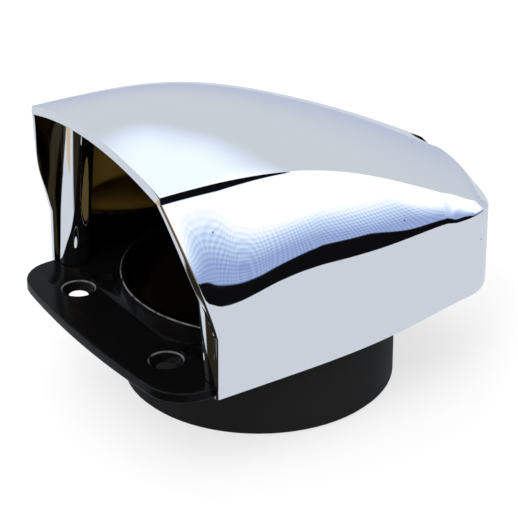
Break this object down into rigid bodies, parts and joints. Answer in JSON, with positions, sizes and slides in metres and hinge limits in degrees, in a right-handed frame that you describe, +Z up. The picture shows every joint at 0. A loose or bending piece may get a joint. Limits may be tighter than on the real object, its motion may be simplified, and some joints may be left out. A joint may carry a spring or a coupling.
{
  "type": "cowl vent",
  "caption": "Low-profile cowl vent: a chrome-plated cast hood with an open mouth over a black moulded base with a round hose collar.",
  "frame": {"origin": "centre of the whole part in plan, at the lower rim of the hose collar, which it stands on", "axes": "+X across, +Y from the mouth towards the rear, +Z up; the mouth looks along -Y and the part is symmetric about X = 0"},
  "size_m": [0.0898, 0.1216, 0.0884],
  "materials": {
    "hood_chrome": "polished chrome plate",
    "base_plastic": "satin black moulding",
    "screw_steel": "plain steel"
  },
  "bodies": {
    "root": {"cast_hood": "hood_chrome", "moulded_base": "base_plastic", "hood_screw_left": "screw_steel", "hood_screw_right": "screw_steel"}
  },
  "joints": []
}
